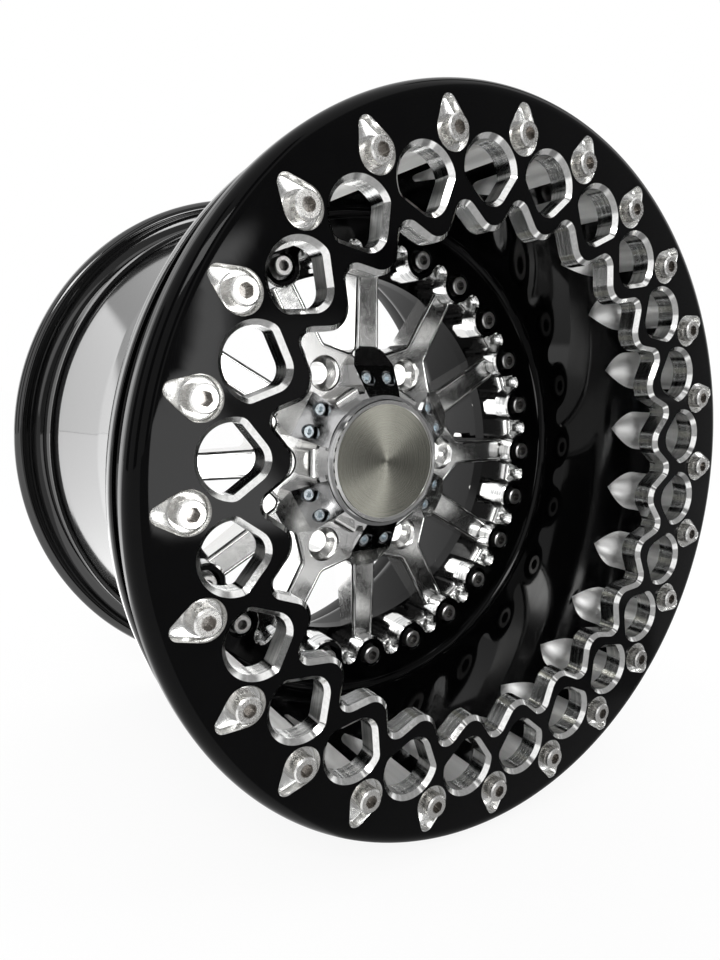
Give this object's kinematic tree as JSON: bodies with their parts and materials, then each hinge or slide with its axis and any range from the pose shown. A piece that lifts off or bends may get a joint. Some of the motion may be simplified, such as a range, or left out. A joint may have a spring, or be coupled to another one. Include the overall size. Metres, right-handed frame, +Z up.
{
  "type": "beadlock wheel",
  "caption": "Split beadlock wheel: windowed clamp ring on a deep front shell, a spoked centre with a bolted cap, and a rear shell with a tyre bead seat.",
  "frame": {"origin": "centre of the hub bore at the mounting face", "axes": "+Y along the wheel's axis towards the vehicle, so the front faces -Y; +Z up"},
  "size_m": [0.4229, 0.3243, 0.423],
  "materials": {
    "ring_black": "gloss black with machined silver edges",
    "screw_steel": "bright stainless",
    "washer_steel": "bright stainless",
    "insert_steel": "plain",
    "shell_black": "gloss black with machined silver cuts",
    "seal_rubber": "matt",
    "centre_polish": "polished",
    "flange_screw_steel": "dark polished stainless",
    "flange_washer_steel": "dark",
    "rear_shell_black": "gloss black",
    "nut_steel": "plain",
    "cover_smoke": "smoked polish",
    "cap_turned": "turned",
    "cap_screw_steel": "blue zinc",
    "valve_metal": "plain",
    "core_brass": "plain",
    "cap_plastic": "gloss"
  },
  "bodies": {
    "root": {"beadlock_ring": "ring_black", "beadlock_bolts": "screw_steel", "beadlock_washers": "washer_steel", "thread_inserts": "insert_steel", "outer_shell": "shell_black", "shell_seal": "seal_rubber", "wheel_center": "centre_polish", "assembly_bolts": "flange_screw_steel", "assembly_washers": "flange_washer_steel", "inner_shell": "rear_shell_black", "nut_washers": "flange_washer_steel", "assembly_nuts": "nut_steel", "cap_spider": "cover_smoke", "cap_seal": "seal_rubber", "cap_disc": "cap_turned", "cap_screws": "cap_screw_steel", "valve_stem": "valve_metal", "valve_seal": "seal_rubber", "valve_nut": "valve_metal", "valve_core": "core_brass", "valve_cap": "cap_plastic"}
  },
  "joints": []
}
